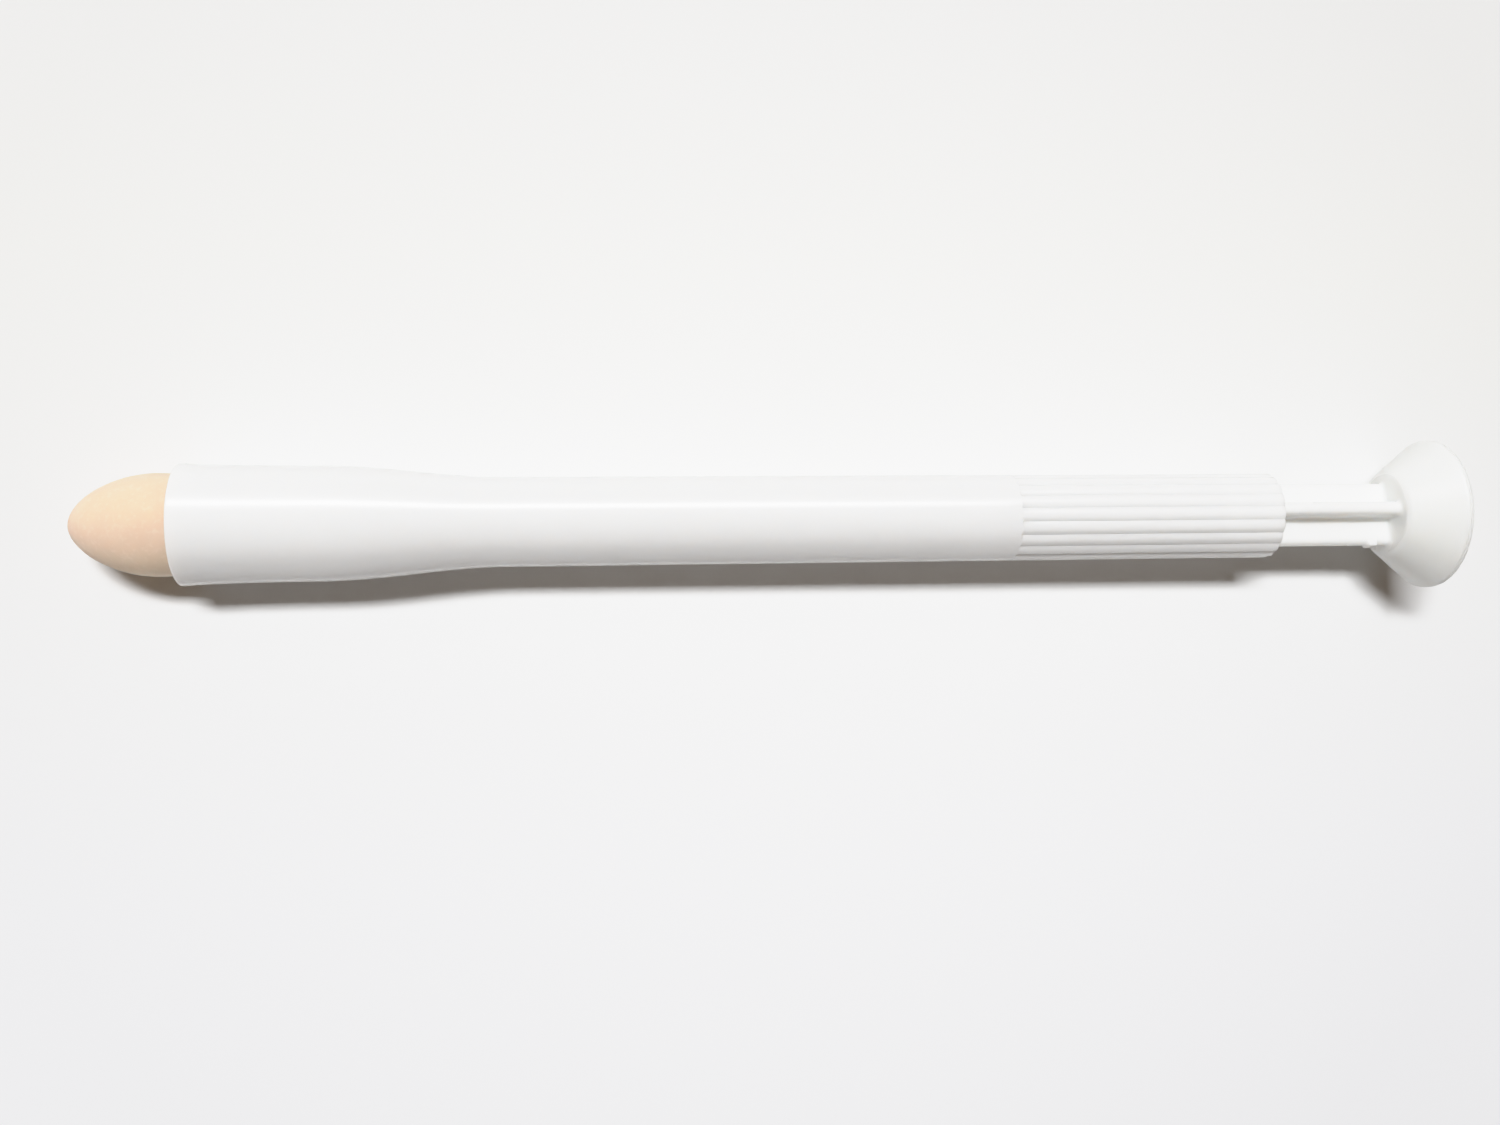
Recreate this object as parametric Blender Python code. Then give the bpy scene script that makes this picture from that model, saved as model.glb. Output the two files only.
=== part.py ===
"""A hand-held plunger applicator: a moulded barrel, a one-piece plunger, and the waxy insert that it pushes out.

The tool's axis is X, from the insert's tip at -X to the thumb knob at +X. The origin is on that axis, halfway
along the tool. Distances along the tool are worked out from the barrel's mouth and called stations.
"""

from math import cos, exp, pi, radians, sin

import bmesh
import bpy
from mathutils import Matrix, Vector

MM = 0.001

# Driving dimensions: lengths along the axis.
INSERT_SHOWS = 10.9 * MM  # the part of the insert that stands out of the mouth
INSERT_LENGTH = 25.0 * MM
BARREL_LENGTH = 117.8 * MM
GRIP_LENGTH = 30.1 * MM
PRESS_TRAVEL = 14.3 * MM
KNOB_LENGTH = 5.5 * MM
FACE_GAP = 0.3 * MM  # between the insert and the piston at rest
STOP_GAP = 0.1 * MM  # between the knob and the barrel when the plunger is pressed home

# Driving dimensions: radii and walls.
SLIM_RADIUS = 4.75 * MM
CHAMBER_RADIUS = 6.0 * MM
MOUTH_FLARE = 0.3 * MM  # how far the mouth opens out past the chamber
MOUTH_FADE = 5.0 * MM  # the flare falls away over this length
NECK_START = 14.0 * MM
NECK_END = 33.0 * MM
WALL = 0.75 * MM
LIP_ROUND = 0.2 * MM
BEAD_RADIUS = 3.72 * MM  # the ring inside the barrel that keeps the plunger in
BEAD_LENGTH = 1.5 * MM
BEAD_FROM_END = 5.0 * MM
FIN_RADIUS = 3.6 * MM
FIN_HALF_THICKNESS = 0.75 * MM
FIN_CHAMFER = 0.3 * MM
PISTON_RADIUS = 3.85 * MM
PISTON_LENGTH = 2.2 * MM
PISTON_ROUND = 0.35 * MM
INSERT_RADIUS = 5.3 * MM
INSERT_NOSE = 8.7 * MM  # from the tip to the widest place
INSERT_NOSE_POWER = 1.8  # 2 would be an ellipse, less is more pointed
INSERT_TAIL_TAPER = 1.3 * MM
INSERT_TAIL_ROUND = 1.2 * MM
KNOB_NECK_RADIUS = 4.3 * MM  # the flat of the knob's small end
KNOB_NECK_ROUND = 1.0 * MM
KNOB_RIM_RADIUS = 8.42 * MM
KNOB_RIM_LENGTH = 0.9 * MM
KNOB_WALL = 1.15 * MM
CUP_FLOOR = 1.2 * MM  # how thick the knob is between its small end and its thumb cup
LUG_RADIUS = 3.8 * MM
LUG_LENGTH = 1.2 * MM
LUG_FROM_KNOB = 1.7 * MM

# The reeded grip: round ribs with a V-shaped groove between each two.
RIB_COUNT = 19
GROOVE_DEPTH = 0.22 * MM
GROOVE_HALF_WIDTH = 0.28 * MM
GROOVE_PHASE = radians(7.3)  # the first groove, from the top towards -Y
CUTTER_OVERLAP = 0.2 * MM

# The whole rod is rolled about the tool's axis, as the plunger turns freely in the barrel.
ROD_ROLL = radians(-12)

# How finely each turned piece is cut, round its axis and along a curve.
BARREL_STEPS = 60
KNOB_STEPS = 48
PISTON_STEPS = 36
INSERT_STEPS = 40
CURVE_STEPS = 8
ROUND_STEPS = 3

# Stations: distances from the barrel's mouth.
GRIP_START = BARREL_LENGTH - GRIP_LENGTH
INSERT_TAIL = INSERT_LENGTH - INSERT_SHOWS
PISTON_FACE = INSERT_TAIL + FACE_GAP
KNOB_FACE = BARREL_LENGTH + PRESS_TRAVEL + STOP_GAP
KNOB_END = KNOB_FACE + KNOB_LENGTH
MIDDLE = (KNOB_END - INSERT_SHOWS) / 2

PLASTIC_WHITE = (0.88, 0.89, 0.90, 1.0)
KNOB_WHITE = (0.86, 0.87, 0.86, 1.0)
WAX_PEACH = (0.87, 0.66, 0.47, 1.0)


def clear_scene():
    """Remove every object that the opened file holds."""
    for item in list(bpy.data.objects):
        bpy.data.objects.remove(item, do_unlink=True)


def material(name, colour, roughness):
    """A plain, non-metal surface."""
    made = bpy.data.materials.new(name)
    made.use_nodes = True
    surface = made.node_tree.nodes["Principled BSDF"]
    surface.inputs["Base Color"].default_value = colour
    surface.inputs["Roughness"].default_value = roughness
    surface.inputs["Metallic"].default_value = 0.0
    made.diffuse_color = colour
    return made


def add_object(name, mesh, surface=None):
    """Put a mesh in the scene as a named object."""
    made = bpy.data.objects.new(name, mesh)
    bpy.context.scene.collection.objects.link(made)
    if surface:
        mesh.materials.append(surface)
    return made


def as_tool(item):
    """Make an object a cutter or a shape that is joined to another, which is no piece of its own."""
    item.hide_render = True
    item.display_type = "WIRE"
    return item


def turned(name, outline, steps, closed, surface=None):
    """Turn an outline of (station, radius) points about the tool's axis, with the Screw modifier.

    The object's own Z lies along the tool, so its origin is on the axis at the barrel's mouth. The outline
    runs from the knob's end to the mouth's end on the outside, and back on the inside.
    """
    mesh = bpy.data.meshes.new(name)
    corners = [(radius, 0.0, station) for station, radius in outline]
    edges = [(i, i + 1) for i in range(len(corners) - 1)]
    if closed:
        edges.append((len(corners) - 1, 0))
    mesh.from_pydata(corners, edges, [])
    made = add_object(name, mesh, surface)
    made.location = (-MIDDLE, 0.0, 0.0)
    made.rotation_euler = (0.0, radians(90), 0.0)
    screw = made.modifiers.new("Turn", "SCREW")
    screw.axis = "Z"
    screw.steps = steps
    screw.render_steps = steps
    screw.use_merge_vertices = True
    screw.merge_threshold = 0.00001
    screw.use_smooth_shade = True
    return made


def rounded(centre, radius, start, end, steps=ROUND_STEPS):
    """An arc of (station, radius) points about a centre, from one angle in degrees to another."""
    angles = [radians(start + (end - start) * i / steps) for i in range(steps + 1)]
    return [(centre[0] + radius * cos(a), centre[1] + radius * sin(a)) for a in angles]


def outer_radius(station):
    """The barrel's outside: a slim tube, a smooth neck, a chamber and a mouth that opens out."""
    along = min(max((station - NECK_START) / (NECK_END - NECK_START), 0.0), 1.0)
    chamber = (CHAMBER_RADIUS - SLIM_RADIUS) * (0.5 + 0.5 * cos(pi * along))
    return SLIM_RADIUS + chamber + MOUTH_FLARE * exp(-station / MOUTH_FADE)


def neck_stations():
    """Where the barrel's outline needs a point between its slim tube and its mouth, from the knob's side."""
    neck = [NECK_END + (NECK_START - NECK_END) * i / CURVE_STEPS for i in range(CURVE_STEPS + 1)]
    flare = [2.0 * MOUTH_FADE, MOUTH_FADE, 0.5 * MOUTH_FADE]
    return neck + flare


def barrel_outline():
    """The barrel's wall, cut along the axis: down the outside, round the lip, and back up the bore."""
    bore = SLIM_RADIUS - WALL
    mouth = outer_radius(LIP_ROUND)
    outside = [(BARREL_LENGTH, SLIM_RADIUS), (GRIP_START, SLIM_RADIUS)]
    outside += [(s, outer_radius(s)) for s in neck_stations()]
    outside += rounded((LIP_ROUND, mouth - LIP_ROUND), LIP_ROUND, 90, 180)
    inside = rounded((LIP_ROUND, mouth - WALL + LIP_ROUND), LIP_ROUND, 180, 270)
    inside += [(s, outer_radius(s) - WALL) for s in reversed(neck_stations())]
    bead_end = BARREL_LENGTH - BEAD_FROM_END
    bead_start = bead_end - BEAD_LENGTH
    slope = bore - BEAD_RADIUS
    inside += [(bead_start, bore), (bead_start + slope, BEAD_RADIUS)]
    inside += [(bead_end - slope, BEAD_RADIUS), (bead_end, bore), (BARREL_LENGTH, bore)]
    return outside + inside


def groove_cutter():
    """V-shaped bars that cut the grooves between the grip's ribs, from the grip's start past the rear end."""
    shape = bmesh.new()
    half = GROOVE_HALF_WIDTH * (GROOVE_DEPTH + CUTTER_OVERLAP) / GROOVE_DEPTH
    top = SLIM_RADIUS + CUTTER_OVERLAP
    length = GRIP_LENGTH + CUTTER_OVERLAP
    for i in range(RIB_COUNT):
        turn = Matrix.Rotation(GROOVE_PHASE + radians(360) * i / RIB_COUNT, 4, "X")
        section = [(0.0, SLIM_RADIUS - GROOVE_DEPTH), (half, top), (-half, top)]
        ring = [shape.verts.new(turn @ Vector((GRIP_START - MIDDLE, y, z))) for y, z in section]
        face = shape.faces.new(ring)
        far = bmesh.ops.extrude_face_region(shape, geom=[face])["geom"]
        corners = [v for v in far if isinstance(v, bmesh.types.BMVert)]
        bmesh.ops.translate(shape, verts=corners, vec=(length, 0.0, 0.0))
    bmesh.ops.recalc_face_normals(shape, faces=shape.faces)
    mesh = bpy.data.meshes.new("groove_cutter")
    shape.to_mesh(mesh)
    shape.free()
    return as_tool(add_object("groove_cutter", mesh))


def add_boolean(item, tool, operation):
    """Join a shape to an object, or cut it away, with the exact solver."""
    step = item.modifiers.new(tool.name, "BOOLEAN")
    step.object = tool
    step.operation = operation
    step.solver = "EXACT"


def make_barrel():
    """The tube, with the grooves of its grip cut in."""
    surface = material("barrel_plastic", PLASTIC_WHITE, 0.28)
    barrel = turned("barrel", barrel_outline(), BARREL_STEPS, True, surface)
    add_boolean(barrel, groove_cutter(), "DIFFERENCE")


def insert_outline():
    """The insert from its flat tail, along its tapered side, to its pointed nose."""
    widest = INSERT_NOSE - INSERT_SHOWS
    tail = INSERT_TAIL - widest
    end_radius = INSERT_RADIUS - INSERT_TAIL_TAPER
    corner = (INSERT_TAIL - INSERT_TAIL_ROUND, end_radius - INSERT_TAIL_ROUND)
    points = [(INSERT_TAIL, 0.0)] + rounded(corner, INSERT_TAIL_ROUND, 0, 75)
    for i in range(CURVE_STEPS - 1, 0, -1):
        along = i / CURVE_STEPS * (1.0 - INSERT_TAIL_ROUND / tail)
        points.append((widest + tail * along, INSERT_RADIUS - INSERT_TAIL_TAPER * along**1.5))
    for i in range(CURVE_STEPS + 1):
        angle = pi / 2 * i / CURVE_STEPS
        nose = INSERT_NOSE * (1.0 - max(sin(angle), 0.0) ** (2 / INSERT_NOSE_POWER))
        radius = INSERT_RADIUS * max(cos(angle), 0.0) ** (2 / INSERT_NOSE_POWER)
        points.append((nose - INSERT_NOSE + widest, radius))
    points[-1] = (-INSERT_SHOWS, 0.0)
    return points


def make_insert():
    """The waxy, bullet-shaped body that sits in the barrel's mouth."""
    surface = material("insert_wax", WAX_PEACH, 0.5)
    turned("insert", insert_outline(), INSERT_STEPS, False, surface)


def knob_outline():
    """The thumb knob: a flare with a narrow rim, hollowed by a cup from its far end."""
    rim = (KNOB_END - KNOB_RIM_LENGTH, KNOB_RIM_RADIUS)
    round_centre = (KNOB_FACE + KNOB_NECK_ROUND, KNOB_NECK_RADIUS)
    floor = KNOB_FACE + CUP_FLOOR
    mouth = KNOB_RIM_RADIUS - KNOB_WALL
    return [
        (floor, 0.0),
        (floor, KNOB_NECK_RADIUS - KNOB_WALL / 2),
        (floor + KNOB_WALL / 2, KNOB_NECK_RADIUS),
        (KNOB_END, mouth),
        (KNOB_END, KNOB_RIM_RADIUS),
        rim,
        *rounded(round_centre, KNOB_NECK_ROUND, 120, 180),
        (KNOB_FACE, 0.0),
    ]


def piston_outline():
    """The piston head: a flat disc with rounded edges."""
    back = PISTON_FACE + PISTON_LENGTH
    edge = PISTON_RADIUS - PISTON_ROUND
    return [
        (back, 0.0),
        *rounded((back - PISTON_ROUND, edge), PISTON_ROUND, 0, 90),
        *rounded((PISTON_FACE + PISTON_ROUND, edge), PISTON_ROUND, 90, 180),
        (PISTON_FACE, 0.0),
    ]


def fin_section():
    """The rod's cross-shaped outline, as (y, z) points: four fins with chamfered edges."""
    inner = FIN_RADIUS - FIN_CHAMFER
    side = FIN_HALF_THICKNESS
    narrow = side - FIN_CHAMFER
    fin = [(side, -side), (inner, -side), (FIN_RADIUS, -narrow), (FIN_RADIUS, narrow), (inner, side)]
    points = []
    for i in range(4):
        turn = Matrix.Rotation(ROD_ROLL + radians(90) * i, 2)
        points += [turn @ Vector(corner) for corner in fin]
    return points


def extruded(name, section, start, length, surface=None):
    """Draw a (y, z) section out along the tool's axis, from a station."""
    shape = bmesh.new()
    ring = [shape.verts.new((start - MIDDLE, y, z)) for y, z in section]
    face = shape.faces.new(ring)
    far = bmesh.ops.extrude_face_region(shape, geom=[face])["geom"]
    corners = [v for v in far if isinstance(v, bmesh.types.BMVert)]
    bmesh.ops.translate(shape, verts=corners, vec=(length, 0.0, 0.0))
    bmesh.ops.recalc_face_normals(shape, faces=shape.faces)
    mesh = bpy.data.meshes.new(name)
    shape.to_mesh(mesh)
    shape.free()
    return add_object(name, mesh, surface)


def lug_section():
    """The lug's (y, z) section: a block as thick as a fin, standing out past the -Y fin's edge."""
    root = FIN_RADIUS - 2 * FIN_CHAMFER
    side = FIN_HALF_THICKNESS - CUTTER_OVERLAP / 2
    turn = Matrix.Rotation(ROD_ROLL, 2)
    block = [(-LUG_RADIUS, -side), (-root, -side), (-root, side), (-LUG_RADIUS, side)]
    return [turn @ Vector(corner) for corner in block]


def make_plunger():
    """The plunger, one moulding: the finned rod, joined to its piston head, knob and lug."""
    surface = material("plunger_plastic", KNOB_WHITE, 0.35)
    start = PISTON_FACE + PISTON_LENGTH / 2
    rod_length = KNOB_FACE + CUP_FLOOR / 2 - start
    plunger = extruded("plunger", fin_section(), start, rod_length, surface)
    piston = turned("piston_shape", piston_outline(), PISTON_STEPS, False)
    knob = turned("knob_shape", knob_outline(), KNOB_STEPS, False)
    lug_start = KNOB_FACE - LUG_FROM_KNOB - LUG_LENGTH
    lug = extruded("lug_shape", lug_section(), lug_start, LUG_LENGTH)
    for shape in (piston, knob, lug):
        add_boolean(plunger, as_tool(shape), "UNION")


clear_scene()
make_barrel()
make_insert()
make_plunger()
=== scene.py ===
"""The looks of a hand-held plunger applicator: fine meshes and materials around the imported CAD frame."""

from math import atan2, cos, exp, hypot, pi, radians, sin, sqrt, tau

import bmesh
import bpy
from mathutils import Matrix, Vector


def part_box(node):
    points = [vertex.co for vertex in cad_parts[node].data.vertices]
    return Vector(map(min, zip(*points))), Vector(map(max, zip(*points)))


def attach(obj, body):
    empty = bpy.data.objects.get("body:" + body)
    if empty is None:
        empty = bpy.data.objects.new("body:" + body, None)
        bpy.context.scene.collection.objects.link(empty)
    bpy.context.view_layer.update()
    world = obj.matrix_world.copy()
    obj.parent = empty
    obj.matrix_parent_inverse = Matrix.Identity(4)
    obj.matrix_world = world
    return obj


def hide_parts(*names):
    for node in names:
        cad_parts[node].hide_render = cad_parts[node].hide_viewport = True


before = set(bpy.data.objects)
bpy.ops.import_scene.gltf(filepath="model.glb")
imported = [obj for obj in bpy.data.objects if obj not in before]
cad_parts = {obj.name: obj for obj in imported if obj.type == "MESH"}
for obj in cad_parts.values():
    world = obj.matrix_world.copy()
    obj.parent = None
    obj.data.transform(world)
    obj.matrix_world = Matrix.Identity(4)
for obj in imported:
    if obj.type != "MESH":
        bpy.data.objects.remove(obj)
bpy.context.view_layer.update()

MM = 0.001

# Places along the tool's axis, X, taken from the CAD frame.
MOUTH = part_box("barrel")[0].x
BARREL_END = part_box("barrel")[1].x
INSERT_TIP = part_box("insert")[0].x
INSERT_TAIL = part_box("insert")[1].x
PISTON_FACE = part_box("plunger")[0].x
KNOB_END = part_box("plunger")[1].x
KNOB_LENGTH = 5.5 * MM
KNOB_FACE = KNOB_END - KNOB_LENGTH
GRIP_START = BARREL_END - 30.1 * MM

# The barrel's radii and wall, as the CAD has them.
SLIM_RADIUS = 4.75 * MM
CHAMBER_RADIUS = 6.0 * MM
MOUTH_FLARE = 0.3 * MM
MOUTH_FADE = 5.0 * MM
NECK_START = 14.0 * MM
NECK_LENGTH = 19.0 * MM
WALL = 0.75 * MM
LIP_ROUND = 0.22 * MM
EDGE_ROUND = 0.1 * MM
BEAD_RADIUS = 3.72 * MM
BEAD_LENGTH = 1.5 * MM
BEAD_FROM_END = 5.0 * MM

# How many steps each stretch of the barrel's mesh has.
GRIP_STEPS = 24
RUN_IN_STEPS = 8
SLIM_STEPS = 30
NECK_STEPS = 70
BORE_STEPS = 12
BEAD_STEPS = 12

# The grip's ribs.
RIB_COUNT = 19
RIB_SAMPLES = 12
GROOVE_DEPTH = 0.22 * MM
GROOVE_PHASE = radians(7.3)
GROOVE_RUN_IN = 0.22 * MM

# The plunger.
ROD_ROLL = radians(12)
FIN_RADIUS = 3.6 * MM
FIN_HALF_THICKNESS = 0.75 * MM
FIN_EDGE_ROUND = 0.68 * MM
FIN_ROOT_ROUND = 0.35 * MM
LUG_RADIUS = 3.8 * MM
LUG_LENGTH = 1.2 * MM
LUG_RAMP = 0.35 * MM
LUG_EDGE_ROUND = 0.12 * MM
LUG_END_STEP = 0.08 * MM
LUG_FROM_KNOB = 1.7 * MM
LUG_FIN = 1
PISTON_RADIUS = 3.85 * MM
PISTON_LENGTH = 2.2 * MM
PISTON_ROUND = 0.35 * MM
ROD_STEPS = 40
KNOB_NECK_RADIUS = 4.3 * MM
KNOB_NECK_ROUND = 1.0 * MM
KNOB_RIM_RADIUS = 8.42 * MM
KNOB_RIM_LENGTH = 0.9 * MM
KNOB_RIM_ROUND = 0.3 * MM
KNOB_END_ROUND = 0.2 * MM
KNOB_END_DRAFT = 0.02 * MM
KNOB_WALL = 1.15 * MM
CUP_FLOOR = 1.2 * MM
CUP_LIP_ROUND = 0.15 * MM
CUP_CORNER_ROUND = 0.7 * MM
CUP_CORNER_INSET = 0.55 * MM

# The mould's seam round the knob's rim: its place behind the rim's start, and its outline as (along, share of
# its depth).
KNOB_SEAM_PLACE = 0.5 * MM
KNOB_SEAM_DEPTH = 0.12 * MM
KNOB_SEAM_OUTLINE = ((-0.1 * MM, 0.0), (-0.04 * MM, 0.8), (0.02 * MM, 1.0), (0.1 * MM, 0.2))

# The insert.
INSERT_RADIUS = 5.3 * MM
INSERT_NOSE = 8.7 * MM
INSERT_NOSE_POWER = 1.8
INSERT_TAIL_TAPER = 1.3 * MM
INSERT_TAIL_ROUND = 1.2 * MM
INSERT_SAMPLES = 96
INSERT_TAIL_STEPS = 40
INSERT_NOSE_STEPS = 60

# The smallest ring round the middle of a flat end, before its mesh closes in a point.
CENTRE_RING = 0.6 * MM
CUP_CENTRE_RING = 0.4 * MM


# ---------------------------------------------------------------- mesh helpers


def on_ring(x, radius, angle):
    """A point round the tool's axis. The angle runs from the top towards -Y."""
    return (x, -radius * sin(angle), radius * cos(angle))


def arc(centre_x, centre_r, radius, start, end, steps):
    """(x, r) points on an arc, with its angles in degrees: 0 is +X and 90 is outwards."""
    angles = [radians(start + (end - start) * i / steps) for i in range(steps + 1)]
    return [(centre_x + radius * cos(a), centre_r + radius * sin(a)) for a in angles]


def line(start, end, steps):
    """(x, r) points between two points, without the two points themselves."""
    shares = [i / steps for i in range(1, steps)]
    return [tuple(a + (b - a) * s for a, b in zip(start, end)) for s in shares]


def skin(name, rings, closed, sharp_angle=40):
    """A smooth mesh through rings of points, closed into a tube wall or ended in a point at each end."""
    shape = bmesh.new()
    made = [[shape.verts.new(p) for p in ring] for ring in rings]
    pairs = list(zip(made, made[1:]))
    if closed:
        pairs.append((made[-1], made[0]))
    for near, far in pairs:
        for i in range(len(near)):
            j = (i + 1) % len(near)
            shape.faces.new((near[i], near[j], far[j], far[i]))
    if not closed:
        for ring, x in ((made[0], rings[0][0][0]), (made[-1], rings[-1][0][0])):
            tip = shape.verts.new((x, 0.0, 0.0))
            for i in range(len(ring)):
                shape.faces.new((ring[i], ring[(i + 1) % len(ring)], tip))
    bmesh.ops.recalc_face_normals(shape, faces=shape.faces)
    mesh = bpy.data.meshes.new(name)
    shape.to_mesh(mesh)
    shape.free()
    mesh.shade_smooth()
    mesh.set_sharp_from_angle(angle=radians(sharp_angle))
    piece = bpy.data.objects.new(name, mesh)
    bpy.context.scene.collection.objects.link(piece)
    return piece


# ---------------------------------------------------------------- the barrel


def outer_radius(x):
    """The barrel's outside without its grooves."""
    station = x - MOUTH
    along = min(max((station - NECK_START) / NECK_LENGTH, 0.0), 1.0)
    chamber = (CHAMBER_RADIUS - SLIM_RADIUS) * (0.5 + 0.5 * cos(pi * along))
    return SLIM_RADIUS + chamber + MOUTH_FLARE * exp(-max(station, 0.0) / MOUTH_FADE)


def rib_angles():
    """Angles round the grip, closest together near the grooves."""
    pitch = tau / RIB_COUNT
    angles = []
    for rib in range(RIB_COUNT):
        for i in range(RIB_SAMPLES):
            share = 0.5 - 0.5 * cos(pi * i / RIB_SAMPLES)
            angles.append(GROOVE_PHASE + pitch * (rib + share))
    return angles


def rib_drop(angle):
    """How far the grip's surface is below a plain tube: round ribs that meet in narrow grooves."""
    half = pi * SLIM_RADIUS / RIB_COUNT
    rib_radius = (half**2 + GROOVE_DEPTH**2) / (2 * GROOVE_DEPTH)
    share = ((angle - GROOVE_PHASE) / (tau / RIB_COUNT)) % 1.0
    across = (2 * share - 1) * half
    return rib_radius - sqrt(rib_radius**2 - across**2)


def barrel_rings():
    """(x, radius, groove share) of each ring, from the rear end over the outside to the mouth, and back."""
    bore = SLIM_RADIUS - WALL
    rear = arc(BARREL_END - EDGE_ROUND, SLIM_RADIUS - EDGE_ROUND, EDGE_ROUND, 0, 90, 4)
    rings = [(x, r, 1.0) for x, r in rear]
    run_in = GRIP_START + GROOVE_RUN_IN
    rings += [(x, SLIM_RADIUS, 1.0) for x, _ in line(rear[-1], (run_in, 0), GRIP_STEPS)]
    for i in range(RUN_IN_STEPS + 1):
        share = 1 - i / RUN_IN_STEPS
        eased = share * share * (3 - 2 * share)
        rings.append((GRIP_START + GROOVE_RUN_IN * share, SLIM_RADIUS, eased))
    neck_end = MOUTH + NECK_START + NECK_LENGTH
    rings += [(x, SLIM_RADIUS, 0.0) for x, _ in line((GRIP_START, 0), (neck_end, 0), SLIM_STEPS)]
    lip = MOUTH + LIP_ROUND
    neck = [neck_end + (lip - neck_end) * i / NECK_STEPS for i in range(NECK_STEPS)]
    rings += [(x, outer_radius(x), 0.0) for x in neck]
    mouth = outer_radius(lip)
    rings += [(x, r, 0.0) for x, r in arc(lip, mouth - LIP_ROUND, LIP_ROUND, 90, 180, 8)]
    rings += [(x, r, 0.0) for x, r in arc(lip, mouth - WALL + LIP_ROUND, LIP_ROUND, 180, 270, 8)]
    rings += [(x, outer_radius(x) - WALL, 0.0) for x in reversed(neck[:-1])]
    bead = BARREL_END - BEAD_FROM_END - BEAD_LENGTH
    rings += [(x, bore, 0.0) for x, _ in line((neck_end, 0), (bead, 0), BORE_STEPS)]
    for i in range(BEAD_STEPS + 1):
        along = i / BEAD_STEPS
        swell = (bore - BEAD_RADIUS) * sin(pi * along) ** 0.5
        rings.append((bead + BEAD_LENGTH * along, bore - swell, 0.0))
    bore_edge = arc(BARREL_END - EDGE_ROUND, bore + EDGE_ROUND, EDGE_ROUND, 270, 360, 4)
    rings += [(x, r, 0.0) for x, r in bore_edge]
    return rings


def make_barrel():
    """The tube: mouth, neck, slim stretch and ribbed grip, with its wall and bore."""
    angles = rib_angles()
    drops = [rib_drop(a) for a in angles]
    rings = []
    for x, radius, share in barrel_rings():
        rings.append([on_ring(x, radius - d * share, a) for a, d in zip(angles, drops)])
    return skin("barrel_tube", rings, True)


# ---------------------------------------------------------------- the plunger


def fin_half(radius, edge, grow):
    """One side of a fin, from its root to the middle of its edge, as (out, across) in its own plane."""
    side = FIN_HALF_THICKNESS + grow
    root = FIN_ROOT_ROUND
    tip = radius + grow
    half = arc(side + root, side + root, root, 225, 270, 4)
    flat_end = (tip - edge, side)
    half += line(half[-1], flat_end, 12)
    half += arc(tip - edge, side - edge, edge, 90, 0, 5)
    half += line(half[-1], (tip, 0.0), 3)
    return half


def rod_ring(x, lug_share=0.0, grow=0.0):
    """The rod's cross-shaped outline at one place, as (angle, radius) pairs round the axis."""
    ring = []
    for fin in range(4):
        radius = FIN_RADIUS
        edge = FIN_EDGE_ROUND
        if fin == LUG_FIN:
            radius += (LUG_RADIUS - FIN_RADIUS) * lug_share
            edge += (LUG_EDGE_ROUND - FIN_EDGE_ROUND) * lug_share
        half = fin_half(radius, edge, grow)
        side = half + [(radius + grow, 0.0)] + [(u, -v) for u, v in reversed(half[1:])]
        for u, v in side:
            angle = -ROD_ROLL + fin * pi / 2 + atan2(-v, u)
            ring.append((angle, hypot(u, v)))
    return [on_ring(x, r, a) for a, r in ring]


def round_ring(x, radius):
    """A circle with its points at the same angles as the rod's outline."""
    outline = rod_ring(x)
    return [(x, y * radius / hypot(y, z), z * radius / hypot(y, z)) for _, y, z in outline]


def junction(x, towards, steps=5):
    """Rings where the rod meets a flat face at x: a small fillet that opens out on to the face."""
    rings = []
    for i in range(steps + 1):
        turn = pi / 2 * i / steps
        grow = FIN_ROOT_ROUND * (1 - cos(turn))
        rings.append(rod_ring(x - towards * FIN_ROOT_ROUND * (1 - sin(turn)), grow=grow))
    return rings


def lug_rings(start):
    """The rod along its lug: up a ramp on the piston's side, along the square top and down a short step."""
    rings = []
    for along, share in ((0.0, 0.0), (0.9, 0.92), (1.0, 1.0)):
        rings.append(rod_ring(start + LUG_RAMP * along, share))
    for along, share in ((1.0, 1.0), (0.5, 0.92), (0.0, 0.0)):
        rings.append(rod_ring(start + LUG_LENGTH - LUG_END_STEP * along, share))
    return rings


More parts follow.
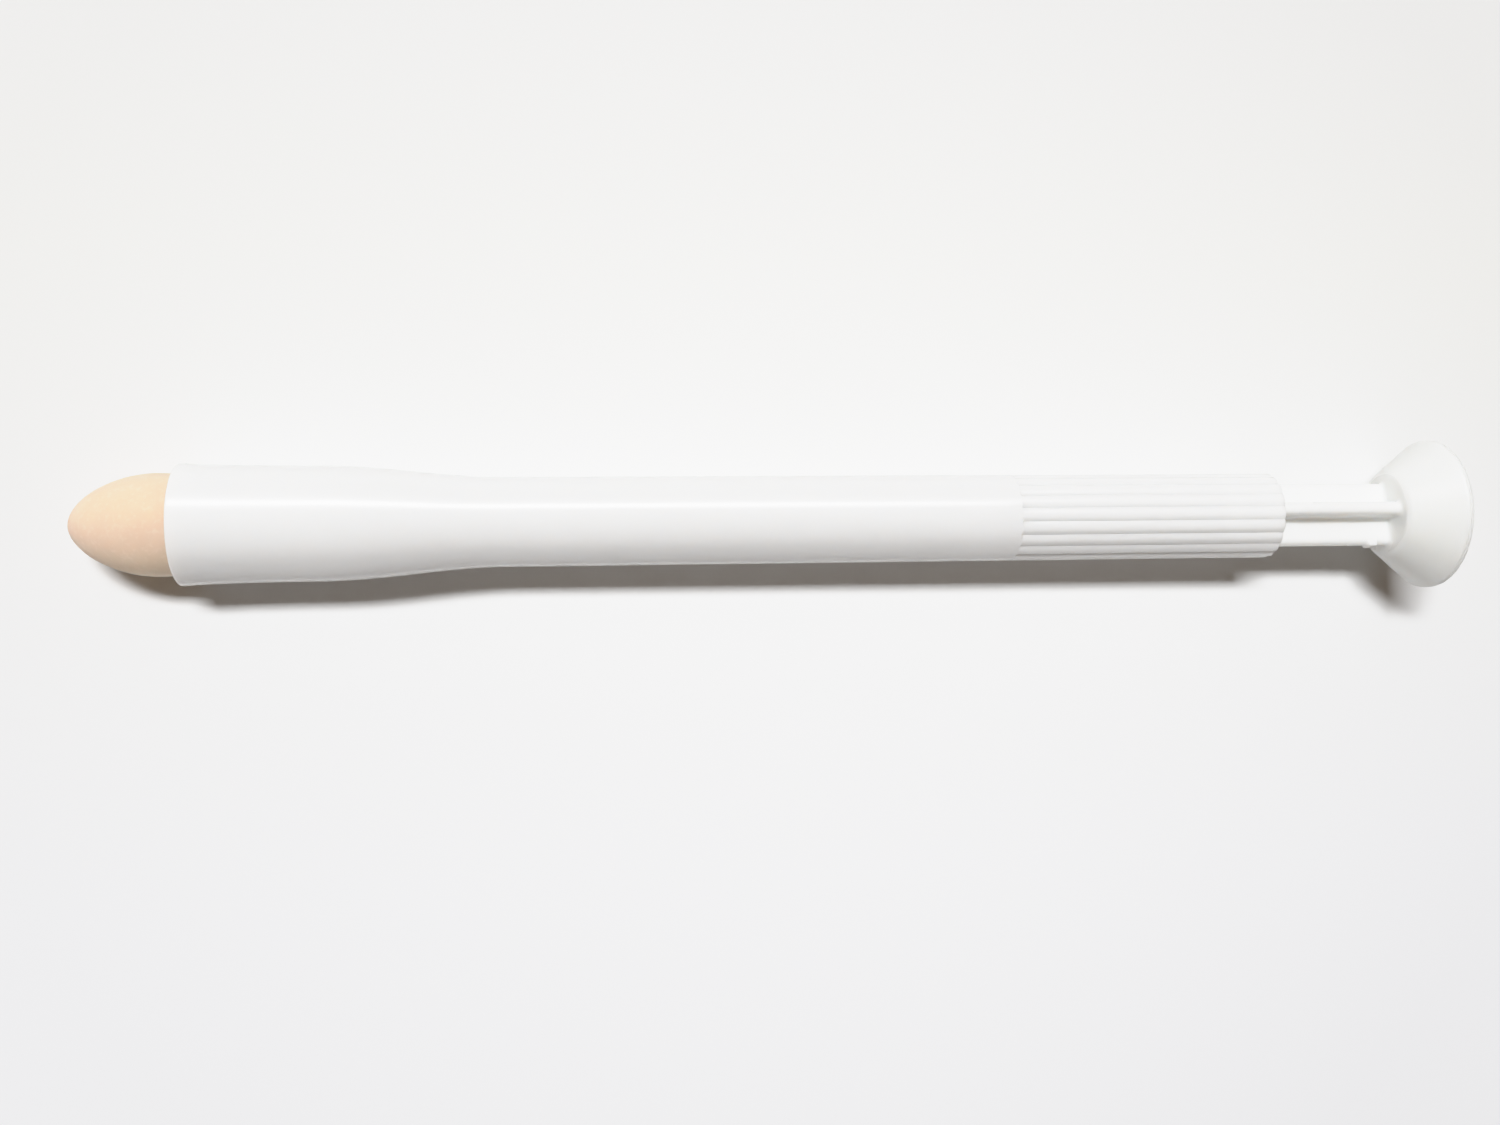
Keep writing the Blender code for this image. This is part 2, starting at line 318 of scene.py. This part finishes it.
def knob_profile():
    """(x, r) of the knob from the middle of its small end round its rim to the floor of its thumb cup."""
    rim_start = KNOB_END - KNOB_RIM_LENGTH
    outside = arc(KNOB_FACE + KNOB_NECK_ROUND, KNOB_NECK_RADIUS, KNOB_NECK_ROUND, 180, 123, 12)
    round_off = KNOB_RIM_ROUND
    rim_front = arc(rim_start + round_off, KNOB_RIM_RADIUS - round_off, round_off, 124, 90, 6)
    outside += line(outside[-1], rim_front[0], 30) + rim_front
    seam = rim_start + KNOB_SEAM_PLACE
    for along, depth in KNOB_SEAM_OUTLINE:
        outside.append((seam + along, KNOB_RIM_RADIUS - KNOB_SEAM_DEPTH * depth))
    end_radius = KNOB_RIM_RADIUS - KNOB_END_DRAFT
    outside += arc(KNOB_END - KNOB_END_ROUND, end_radius - KNOB_END_ROUND, KNOB_END_ROUND, 90, 0, 6)
    inner = KNOB_RIM_RADIUS - KNOB_WALL
    lip = arc(KNOB_END - CUP_LIP_ROUND, inner + CUP_LIP_ROUND, CUP_LIP_ROUND, 0, -55, 5)
    floor = KNOB_FACE + CUP_FLOOR
    corner_radius = KNOB_NECK_RADIUS - CUP_CORNER_INSET
    corner = arc(floor + CUP_CORNER_ROUND, corner_radius, CUP_CORNER_ROUND, 125, 180, 8)
    lip += line(lip[-1], corner[0], 24) + corner
    centre = (floor, CUP_CENTRE_RING)
    lip += line(corner[-1], centre, 8) + [centre]
    return outside + lip


def make_plunger():
    """One moulding: piston head, finned rod with its lug, and thumb knob."""
    back = PISTON_FACE + PISTON_LENGTH
    edge = PISTON_RADIUS - PISTON_ROUND
    piston = [(PISTON_FACE, CENTRE_RING), (PISTON_FACE, 0.6 * edge)]
    piston += arc(PISTON_FACE + PISTON_ROUND, edge, PISTON_ROUND, 180, 90, 6)
    piston += arc(back - PISTON_ROUND, edge, PISTON_ROUND, 90, 0, 6)
    rings = [round_ring(x, r) for x, r in piston]
    rings += reversed(junction(back, -1))
    lug_start = KNOB_FACE - LUG_FROM_KNOB - LUG_LENGTH
    rod_start = back + FIN_ROOT_ROUND
    rings += [rod_ring(x) for x, _ in line((rod_start, 0), (lug_start, 0), ROD_STEPS)]
    rings += lug_rings(lug_start)
    rings += junction(KNOB_FACE, 1)
    rings += [round_ring(x, r) for x, r in knob_profile()]
    return skin("plunger_moulding", rings, False)


# ---------------------------------------------------------------- the insert


def insert_profile():
    """(x, r) of the insert, from its flat tail to its nose."""
    widest = INSERT_TIP + INSERT_NOSE
    tail = INSERT_TAIL - widest
    end_radius = INSERT_RADIUS - INSERT_TAIL_TAPER
    round_off = INSERT_TAIL_ROUND
    points = [(INSERT_TAIL, CENTRE_RING), (INSERT_TAIL, 0.5 * end_radius)]
    points += arc(INSERT_TAIL - round_off, end_radius - round_off, round_off, 0, 80, 10)
    for i in range(INSERT_TAIL_STEPS - 1, 0, -1):
        along = i / INSERT_TAIL_STEPS * (1 - round_off / tail)
        points.append((widest + tail * along, INSERT_RADIUS - INSERT_TAIL_TAPER * along**1.5))
    power = 2 / INSERT_NOSE_POWER
    for i in range(INSERT_NOSE_STEPS):
        angle = pi / 2 * i / INSERT_NOSE_STEPS
        nose = INSERT_NOSE * (1 - sin(angle) ** power)
        points.append((widest - INSERT_NOSE + nose, INSERT_RADIUS * cos(angle) ** power))
    return points


def make_insert():
    """The waxy bullet-shaped body."""
    angles = [tau * i / INSERT_SAMPLES for i in range(INSERT_SAMPLES)]
    rings = [[on_ring(x, r, a) for a in angles] for x, r in insert_profile()]
    piece = skin("insert_body", rings, False)
    tip = min(piece.data.vertices, key=lambda v: v.co.x)
    tip.co.x = INSERT_TIP
    return piece


# ---------------------------------------------------------------- materials

# The knob's duller skin: how soon it starts, its tint and its added roughness.
DULL_RUN_IN = 0.3 * MM
DULL_TINT = (0.95, 0.955, 0.95, 1.0)
DULL_ROUGHNESS = (0.12, 0.12, 0.12, 1.0)

# The insert's colour across it, (Y in metres, colour), is painted light and shade: redder on the lit +Y side,
# darker towards -Y, and paler again on the -Y underside where light from the floor falls.
WAX_PAINTED_LIGHT_TONES = (
    (-5.3 * MM, (0.90, 0.76, 0.60)),
    (-4.3 * MM, (0.78, 0.625, 0.475)),
    (-1.5 * MM, (0.785, 0.605, 0.465)),
    (1.0 * MM, (0.88, 0.59, 0.445)),
    (3.9 * MM, (0.875, 0.60, 0.455)),
    (5.3 * MM, (0.80, 0.625, 0.48)),
)
WAX_BLOOM = (0.90, 0.74, 0.62, 1.0)


def new_material(name):
    """A material, its node tree and its shader."""
    made = bpy.data.materials.new(name)
    made.use_nodes = True
    tree = made.node_tree
    return made, tree, tree.nodes["Principled BSDF"]


def add_node(tree, kind, **values):
    """One node, with its properties and its input sockets set by name."""
    node = tree.nodes.new(kind)
    for name, value in values.items():
        if name in node.inputs:
            node.inputs[name].default_value = value
        else:
            setattr(node, name, value)
    return node


def noise(tree, scale, detail=3.0, stretch=(1.0, 1.0, 1.0)):
    """Noise in the object's own metres, stretched along its axes."""
    place = add_node(tree, "ShaderNodeTexCoord")
    mapping = add_node(tree, "ShaderNodeMapping", Scale=stretch)
    made = add_node(tree, "ShaderNodeTexNoise", Scale=scale, Detail=detail)
    tree.links.new(place.outputs["Object"], mapping.inputs["Vector"])
    tree.links.new(mapping.outputs["Vector"], made.inputs["Vector"])
    return made


def ramp(tree, source, low, high, start=0.35, end=0.65):
    """Two colours, or two greys, spread over a stretch of a texture's value."""
    made = add_node(tree, "ShaderNodeValToRGB")
    for element, place, colour in zip(made.color_ramp.elements, (start, end), (low, high)):
        element.position = place
        element.color = colour if hasattr(colour, "__len__") else (colour, colour, colour, 1.0)
    tree.links.new(source, made.inputs["Fac"])
    return made.outputs["Color"]


def share_along(tree, axis, start, end):
    """How far a point is from one place to another on an axis, in the object's own metres, as 0 to 1."""
    place = add_node(tree, "ShaderNodeTexCoord")
    parts = add_node(tree, "ShaderNodeSeparateXYZ")
    spread = add_node(tree, "ShaderNodeMapRange")
    spread.inputs["From Min"].default_value = start
    spread.inputs["From Max"].default_value = end
    tree.links.new(place.outputs["Object"], parts.inputs["Vector"])
    tree.links.new(parts.outputs[axis], spread.inputs["Value"])
    return spread.outputs["Result"]


def blend(tree, kind, below, above, factor=1.0):
    """Two colours blended. The upper one and the factor are sockets or plain values."""
    made = add_node(tree, "ShaderNodeMix", data_type="RGBA", blend_type=kind)
    tree.links.new(below, made.inputs[6])
    for socket, value in ((made.inputs[7], above), (made.inputs["Factor"], factor)):
        if isinstance(value, bpy.types.NodeSocket):
            tree.links.new(value, socket)
        else:
            socket.default_value = value
    return made.outputs[2]


def stripes(tree, stops):
    """Colours at several places along Y, each (place, colour)."""
    made = add_node(tree, "ShaderNodeValToRGB")
    first, last = stops[0][0], stops[-1][0]
    elements = made.color_ramp.elements
    for place, _ in stops[1:-1]:
        elements.new((place - first) / (last - first))
    for element, (_, colour) in zip(elements, stops):
        element.color = (*colour, 1.0)
    tree.links.new(share_along(tree, "Y", first, last), made.inputs["Fac"])
    return made.outputs["Color"]


def bump(tree, shader, layers):
    """Stack fine surface heights, each (source, strength, distance), under the shader's normal."""
    before = None
    for source, strength, distance in layers:
        step = add_node(tree, "ShaderNodeBump", Strength=strength, Distance=distance)
        tree.links.new(source, step.inputs["Height"])
        if before:
            tree.links.new(before, step.inputs["Normal"])
        before = step.outputs["Normal"]
    tree.links.new(before, shader.inputs["Normal"])


def moulded_plastic(name, light, shade, smooth, rough, depth, dull_from=None):
    """White moulded plastic: faint flow marks along the part, a fine skin, and light that shines through.

    From one place on, dull_from, it is a little greyer and rougher.
    """
    made, tree, shader = new_material(name)
    flow = noise(tree, 160.0, 4.0, (0.25, 1.0, 1.0))
    cloud = noise(tree, 70.0, 2.0)
    skin_grain = noise(tree, 5200.0, 2.0)
    colour = ramp(tree, cloud.outputs["Fac"], shade, light)
    roughness = ramp(tree, flow.outputs["Fac"], smooth, rough)
    if dull_from is not None:
        dull = share_along(tree, "X", dull_from, dull_from + DULL_RUN_IN)
        colour = blend(tree, "MULTIPLY", colour, DULL_TINT, dull)
        roughness = blend(tree, "ADD", roughness, DULL_ROUGHNESS, dull)
    tree.links.new(colour, shader.inputs["Base Color"])
    tree.links.new(roughness, shader.inputs["Roughness"])
    bump(tree, shader, [(skin_grain.outputs["Fac"], 0.05, 0.004 * MM)])
    shader.inputs["IOR"].default_value = 1.49
    shader.inputs["Subsurface Weight"].default_value = 1.0
    shader.inputs["Subsurface Radius"].default_value = (1.0, 0.95, 0.9)
    shader.inputs["Subsurface Scale"].default_value = depth
    return made


def wax(name):
    """The insert's waxy solid: peach with painted light and shade across it, faintly mottled with pale fat
    bloom, and soft inside.
    """
    made, tree, shader = new_material(name)
    mottle = noise(tree, 420.0, 5.0)
    speck = noise(tree, 1900.0, 3.0)
    # Painted light and shade on the insert, from its colour stripes across Y.
    side = stripes(tree, WAX_PAINTED_LIGHT_TONES)
    cloud = ramp(tree, mottle.outputs["Fac"], 0.975, 1.015, 0.35, 0.7)
    tone = blend(tree, "MULTIPLY", side, cloud)
    bloom = ramp(tree, speck.outputs["Fac"], 0.0, 0.30, 0.52, 0.74)
    tree.links.new(blend(tree, "MIX", tone, WAX_BLOOM, bloom), shader.inputs["Base Color"])
    tree.links.new(ramp(tree, mottle.outputs["Fac"], 0.6, 0.72), shader.inputs["Roughness"])
    pits = noise(tree, 900.0, 4.0)
    bump(tree, shader, [(pits.outputs["Fac"], 0.25, 0.05 * MM), (speck.outputs["Fac"], 0.35, 0.02 * MM)])
    shader.inputs["IOR"].default_value = 1.44
    shader.inputs["Specular IOR Level"].default_value = 0.3
    shader.inputs["Subsurface Weight"].default_value = 0.8
    shader.inputs["Subsurface Radius"].default_value = (0.9, 1.0, 1.1)
    shader.inputs["Subsurface Scale"].default_value = 4.2 * MM
    return made


# ---------------------------------------------------------------- camera, floor and light

CAMERA_X = MOUTH + 39.2 * MM
CAMERA_PLACE = (CAMERA_X, -4.6 * MM, 148.5 * MM)
CAMERA_YAW = radians(7.5)
CAMERA_ROLL = radians(0.72)
LENS_MM = 33.3

# The floor's painted pool of light: lightest in its middle, it fades over one divided by this, in metres.
FLOOR_LIGHT_POOL_FADE = 9.0
FLOOR_SIZE = 3.0

# Painted light on the floor, its tint across the tool: (Y in metres, colour), cool on the -Y side and warm on
# the +Y side.
FLOOR_PAINTED_LIGHT_TINTS = (
    (-0.04, (1.01, 1.025, 1.06)),
    (0.03, (0.985, 0.99, 0.965)),
    (0.06, (0.95, 0.955, 0.95)),
)

# The roll-off of the brightest tones, (light, light shown). The brightest light is shown as white.
BRIGHTEST = 2.0
TONE_POINTS = ((0.3, 0.3), (0.6, 0.59), (0.85, 0.825), (1.0, 0.895), (1.25, 0.94))


def make_camera():
    """A phone's view from above, turned a little towards the knob."""
    data = bpy.data.cameras.new("camera")
    data.lens = LENS_MM
    data.sensor_width = 36.0
    data.clip_start = 0.01
    camera = bpy.data.objects.new("camera", data)
    turn = Matrix.Rotation(-CAMERA_YAW, 4, "Y") @ Matrix.Rotation(-CAMERA_ROLL, 4, "Z")
    camera.matrix_world = Matrix.Translation(CAMERA_PLACE) @ turn
    bpy.context.scene.collection.objects.link(camera)
    bpy.context.scene.camera = camera


def paper(name):
    """Pale paper with a painted pool of light, lightest in the middle, and a faint painted tint of light
    across it.
    """
    made, tree, shader = new_material(name)
    place = add_node(tree, "ShaderNodeTexCoord")
    spread = add_node(tree, "ShaderNodeMapping", Scale=(FLOOR_LIGHT_POOL_FADE, FLOOR_LIGHT_POOL_FADE, FLOOR_LIGHT_POOL_FADE))
    ball = add_node(tree, "ShaderNodeTexGradient", gradient_type="SPHERICAL")
    tree.links.new(place.outputs["Object"], spread.inputs["Vector"])
    tree.links.new(spread.outputs["Vector"], ball.inputs["Vector"])
    # Painted pool of light: the floor is lightest in its middle.
    light = ramp(tree, ball.outputs["Fac"], 0.79, 0.885, 0.15, 0.78)
    # Painted light: the floor's cool and warm tint across Y.
    painted_light_tint = stripes(tree, FLOOR_PAINTED_LIGHT_TINTS)
    tree.links.new(blend(tree, "MULTIPLY", light, painted_light_tint), shader.inputs["Base Color"])
    shader.inputs["Roughness"].default_value = 0.85
    return made


def make_floor():
    """A pale sheet that the mouth's rim and the knob's rim both lie on."""
    mouth = Vector((MOUTH + LIP_ROUND, 0.0, -outer_radius(MOUTH + LIP_ROUND)))
    knob = Vector((KNOB_END - 0.3 * MM, 0.0, -KNOB_RIM_RADIUS))
    slope = atan2(mouth.z - knob.z, knob.x - mouth.x)
    half = FLOOR_SIZE / 2
    mesh = bpy.data.meshes.new("floor")
    corners = [(-half, -half, 0.0), (half, -half, 0.0), (half, half, 0.0), (-half, half, 0.0)]
    mesh.from_pydata(corners, [], [(0, 1, 2, 3)])
    floor = bpy.data.objects.new("floor", mesh)
    bpy.context.scene.collection.objects.link(floor)
    floor.matrix_world = Matrix.Translation((mouth + knob) / 2) @ Matrix.Rotation(slope, 4, "Y")
    mesh.materials.append(paper("floor_paper"))


def add_panel(name, power, length, width, distance, back, side):
    """A lit panel, long in X, that hangs overhead, tipped back towards +Y and sideways towards -X."""
    data = bpy.data.lights.new(name, "AREA")
    data.shape = "RECTANGLE"
    data.size = length
    data.size_y = width
    data.energy = power
    data.color = (0.99, 1.0, 1.01)
    light = bpy.data.objects.new(name, data)
    light.rotation_euler = (radians(-back), radians(-side), 0.0)
    light.location = light.rotation_euler.to_matrix() @ Vector((0.0, 0.0, distance))
    bpy.context.scene.collection.objects.link(light)
    return light


def make_light():
    """A long key panel above and behind, a thin gleam, and a pale, slightly warm surround."""
    key = add_panel("key", power=26.0, length=0.58, width=0.2, distance=1.5, back=20, side=9)
    key.visible_glossy = False
    gleam = add_panel("gleam", power=26.0, length=1.3, width=0.2, distance=1.5, back=39, side=6)
    gleam.visible_diffuse = False
    world = bpy.data.worlds.new("surround")
    world.use_nodes = True
    back = world.node_tree.nodes["Background"]
    back.inputs["Color"].default_value = (1.0, 0.75, 0.54, 1.0)
    back.inputs["Strength"].default_value = 0.12
    bpy.context.scene.world = world


def soften_highlights():
    """Roll off the brightest tones, as a phone's camera does."""
    view = bpy.context.scene.view_settings
    view.view_transform = "Standard"
    view.use_curve_mapping = True
    tones = view.curve_mapping
    tones.white_level = (BRIGHTEST, BRIGHTEST, BRIGHTEST)
    for light, shown in TONE_POINTS:
        tones.curves[3].points.new(light / BRIGHTEST, shown)
    tones.update()


# ---------------------------------------------------------------- the scene


def place(piece, node, slot, surface):
    """Give a piece its material and let it stand for its CAD node on the body of the same name."""
    piece.data.materials.append(surface)
    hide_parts(node)
    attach(piece, node)


barrel_surface = moulded_plastic(
    "barrel_plastic",
    light=(0.88, 0.885, 0.88, 1.0),
    shade=(0.875, 0.88, 0.875, 1.0),
    smooth=0.22,
    rough=0.26,
    depth=1.2 * MM,
)
plunger_surface = moulded_plastic(
    "plunger_plastic",
    light=(0.87, 0.88, 0.87, 1.0),
    shade=(0.865, 0.875, 0.865, 1.0),
    smooth=0.22,
    rough=0.28,
    depth=1.6 * MM,
    dull_from=KNOB_FACE,
)
place(make_barrel(), "barrel", "barrel_plastic", barrel_surface)
place(make_plunger(), "plunger", "plunger_plastic", plunger_surface)
place(make_insert(), "insert", "insert_wax", wax("insert_wax"))
make_floor()
make_light()
soften_highlights()
make_camera()
